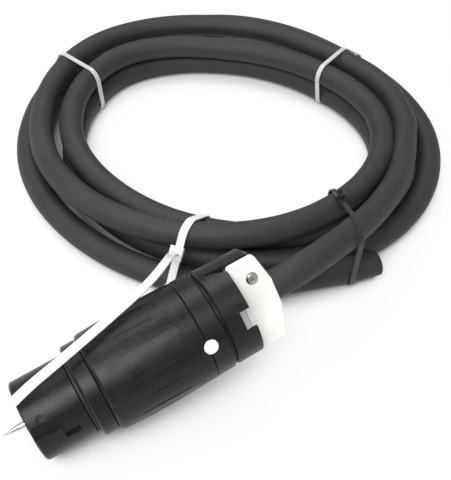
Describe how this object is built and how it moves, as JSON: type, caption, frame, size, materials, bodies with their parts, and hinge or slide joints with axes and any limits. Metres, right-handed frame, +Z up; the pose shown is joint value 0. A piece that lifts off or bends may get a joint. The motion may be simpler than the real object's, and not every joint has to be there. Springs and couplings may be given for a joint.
{
  "type": "shore power cord",
  "caption": "Heavy rubber power cord in a tied coil, with a twist-lock cord connector on one end, its clamp jaw held by screws, and a bare cut end.",
  "frame": {"origin": "on the ground under the middle of the connector's footprint", "axes": "+X from the nose to the cable under the connector's axis, +Z up, coil on the +Y side"},
  "size_m": [0.533, 0.5041, 0.1013],
  "materials": {
    "black_nylon": "satin moulded",
    "white_nylon": "satin moulded",
    "cable_rubber": "matte, finely wrinkled",
    "rubber_seal": "matte",
    "brass": "bright",
    "nickel": "nickel plated",
    "core_black": "extruded",
    "core_red": "extruded",
    "core_white": "extruded",
    "core_green": "extruded",
    "white_nylon_tie": "moulded",
    "clear_nylon_tie": "moulded, slightly clear",
    "black_nylon_tie": "moulded"
  },
  "bodies": {
    "connector": {"nose_shell": "black_nylon", "contact_carrier": "black_nylon", "contact_1": "brass", "contact_2": "brass", "contact_3": "brass", "ground_pin": "nickel", "terminal_screws": "nickel", "neck_ring": "rubber_seal", "grip": "black_nylon", "collar": "black_nylon", "clamp_cap": "black_nylon", "insert_in_cap": "brass", "cable_grommet": "rubber_seal", "conductor_black": "core_black", "conductor_red": "core_red", "conductor_white": "core_white", "conductor_green": "core_green", "cable_lead": "cable_rubber", "cable_coil": "cable_rubber", "heavy_tie": "white_nylon_tie", "clear_tie_left": "clear_nylon_tie", "clear_tie_right": "clear_nylon_tie", "black_tie": "black_nylon_tie"},
    "jaw": {"clamp_jaw": "white_nylon", "insert_in_jaw": "brass"},
    "upper_screw": {"clamp_screw_upper": "nickel"},
    "lower_screw": {"clamp_screw_lower": "nickel"},
    "assembly_screw_body_1": {"assembly_screw_1": "white_nylon"},
    "assembly_screw_body_2": {"assembly_screw_2": "white_nylon"},
    "assembly_screw_body_3": {"assembly_screw_3": "white_nylon"}
  },
  "joints": [
    {"name": "jaw_slide", "type": "slide", "parent": "connector", "child": "jaw", "axis": [-0.0892, -0.8746, 0.4765], "range_m": [0, 0.003]},
    {"name": "upper_clamp_screw_turn", "type": "hinge", "parent": "jaw", "child": "upper_screw", "pos_m": [0.0886, -0.00289, 0.08716], "axis": [-0.0892, -0.8746, 0.4765], "range_deg": [0, 1021]},
    {"name": "lower_clamp_screw_turn", "type": "hinge", "parent": "connector", "child": "lower_screw", "pos_m": [0.0973, 0.00289, 0.04064], "axis": [0.0892, 0.8746, -0.4765], "range_deg": [0, 1021]},
    {"name": "assembly_screw_1_turn", "type": "hinge", "parent": "connector", "child": "assembly_screw_body_1", "pos_m": [0.03884, -0.03324, 0.07252], "axis": [-0.0892, -0.8746, 0.4765], "continuous": true},
    {"name": "assembly_screw_2_turn", "type": "hinge", "parent": "connector", "child": "assembly_screw_body_2", "pos_m": [0.03863, 0.03257, 0.07365], "axis": [-0.0947, 0.8572, 0.5062], "continuous": true},
    {"name": "assembly_screw_3_turn", "type": "hinge", "parent": "connector", "child": "assembly_screw_body_3", "pos_m": [0.04922, 0.00066, 0.01706], "axis": [0.1839, 0.0175, -0.9828], "continuous": true}
  ],
  "couplings": [
    {"joint": "upper_clamp_screw_turn", "follows": "jaw_slide", "rad_per_m": 5938.7},
    {"joint": "lower_clamp_screw_turn", "follows": "jaw_slide", "rad_per_m": 5938.7}
  ]
}
